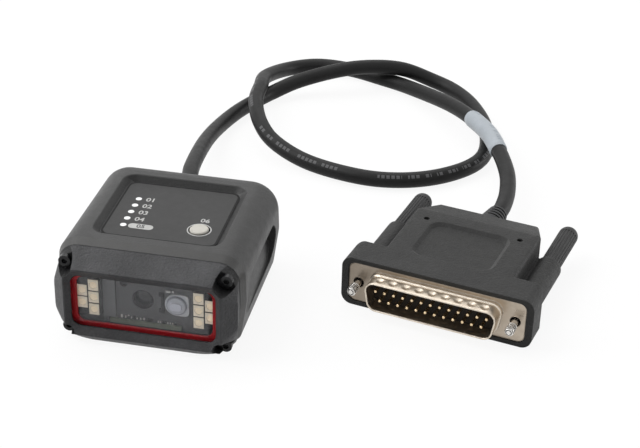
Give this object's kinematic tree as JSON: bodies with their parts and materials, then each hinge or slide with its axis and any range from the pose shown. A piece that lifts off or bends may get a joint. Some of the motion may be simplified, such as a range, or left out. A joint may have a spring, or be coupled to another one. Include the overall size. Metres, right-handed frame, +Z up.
{
  "type": "fixed-mount barcode reader",
  "caption": "Compact fixed-mount barcode reader: a charcoal moulded housing with a lit front window, status lights and a button on top, and a lead ending in a D-shaped data plug.",
  "frame": {"origin": "on the floor, under the middle of the reader's housing and bezel, without the lead", "axes": "+Z up; the window faces -Y; +X to the right as the window is seen from in front"},
  "size_m": [0.1405, 0.1933, 0.028],
  "materials": {
    "housing_plastic": "charcoal moulded plastic with a fine grain",
    "bezel_plastic": "charcoal moulded plastic, a little bluer than the housing",
    "black_screw": "black-coated steel",
    "window": "clear flat pane",
    "red_ring": "deep red moulded seal",
    "label_film": "grey film with a fine matt texture",
    "light_pipe": "translucent white moulding",
    "lamp_package": "cream lamp package",
    "circuit_board": "green-coated circuit board",
    "lamp_board": "dark grey circuit board",
    "switch_black": "black moulded switch",
    "button_grey": "warm light grey moulding",
    "header_cream": "cream connector housing",
    "steel_screw": "zinc-plated steel",
    "insert_brass": "turned brass",
    "engine_black": "black matt moulding",
    "sensor_chip": "dark cover glass on a chip",
    "lens": "coated lens glass",
    "aimer_clear": "clear moulded lens",
    "cable_jacket": "dark grey semi-matt jacket",
    "bushing_rubber": "black moulded bushing",
    "sleeve_white": "bluish white film",
    "hood_plastic": "dark grey moulded plastic",
    "plug_metal": "tin-plated pressed steel",
    "insulator_black": "black moulded insulator",
    "pin_gold": "gold-flashed brass pins",
    "jack_steel": "nickel-plated steel",
    "knob_plastic": "dark grey moulded plastic"
  },
  "bodies": {
    "reader": {"housing": "housing_plastic", "front_bezel": "bezel_plastic", "bezel_screws": "black_screw", "window_pane": "window", "window_ring": "red_ring", "overlay_label": "label_film", "status_light_pipe": "light_pipe", "status_lamps": "lamp_package", "status_board": "circuit_board", "button_switch": "switch_black", "main_board": "circuit_board", "cable_header": "header_cream", "board_screws": "steel_screw", "mounting_inserts": "insert_brass", "lamp_board_left": "lamp_board", "lamp_board_right": "lamp_board", "lamps_left": "lamp_package", "lamps_right": "lamp_package", "engine_frame": "engine_black", "imager_board": "circuit_board", "image_sensor": "sensor_chip", "lens_barrel": "engine_black", "lens_glass": "lens", "aimer_lamp": "lamp_package", "aimer_lens": "aimer_clear", "engine_screws": "steel_screw", "cable_bushing": "bushing_rubber", "cable": "cable_jacket", "cable_sleeve": "sleeve_white", "plug_boot": "bushing_rubber", "hood_top": "hood_plastic", "hood_bottom": "hood_plastic", "hood_screws": "steel_screw", "plug_shell": "plug_metal", "plug_back_shell": "plug_metal", "plug_insulator": "insulator_black", "contact_pins": "pin_gold"},
    "tune_button": {"tune_button": "button_grey"},
    "thumbscrew_left": {"jackscrew_left": "jack_steel", "thumb_knob_left": "knob_plastic"},
    "thumbscrew_right": {"jackscrew_right": "jack_steel", "thumb_knob_right": "knob_plastic"}
  },
  "joints": [
    {"name": "button_press", "type": "slide", "parent": "reader", "child": "tune_button", "axis": [0, 0, -1], "range_m": [0, 0.00035], "stiffness_N_per_m": 3000},
    {"name": "thumbscrew_left_turn", "type": "hinge", "parent": "reader", "child": "thumbscrew_left", "pos_m": [0.05353, 0.00855, 0.00775], "axis": [0.2147, 0.9767, 0], "continuous": true},
    {"name": "thumbscrew_right_turn", "type": "hinge", "parent": "reader", "child": "thumbscrew_right", "pos_m": [0.09947, -0.00155, 0.00775], "axis": [0.2147, 0.9767, 0], "continuous": true}
  ]
}
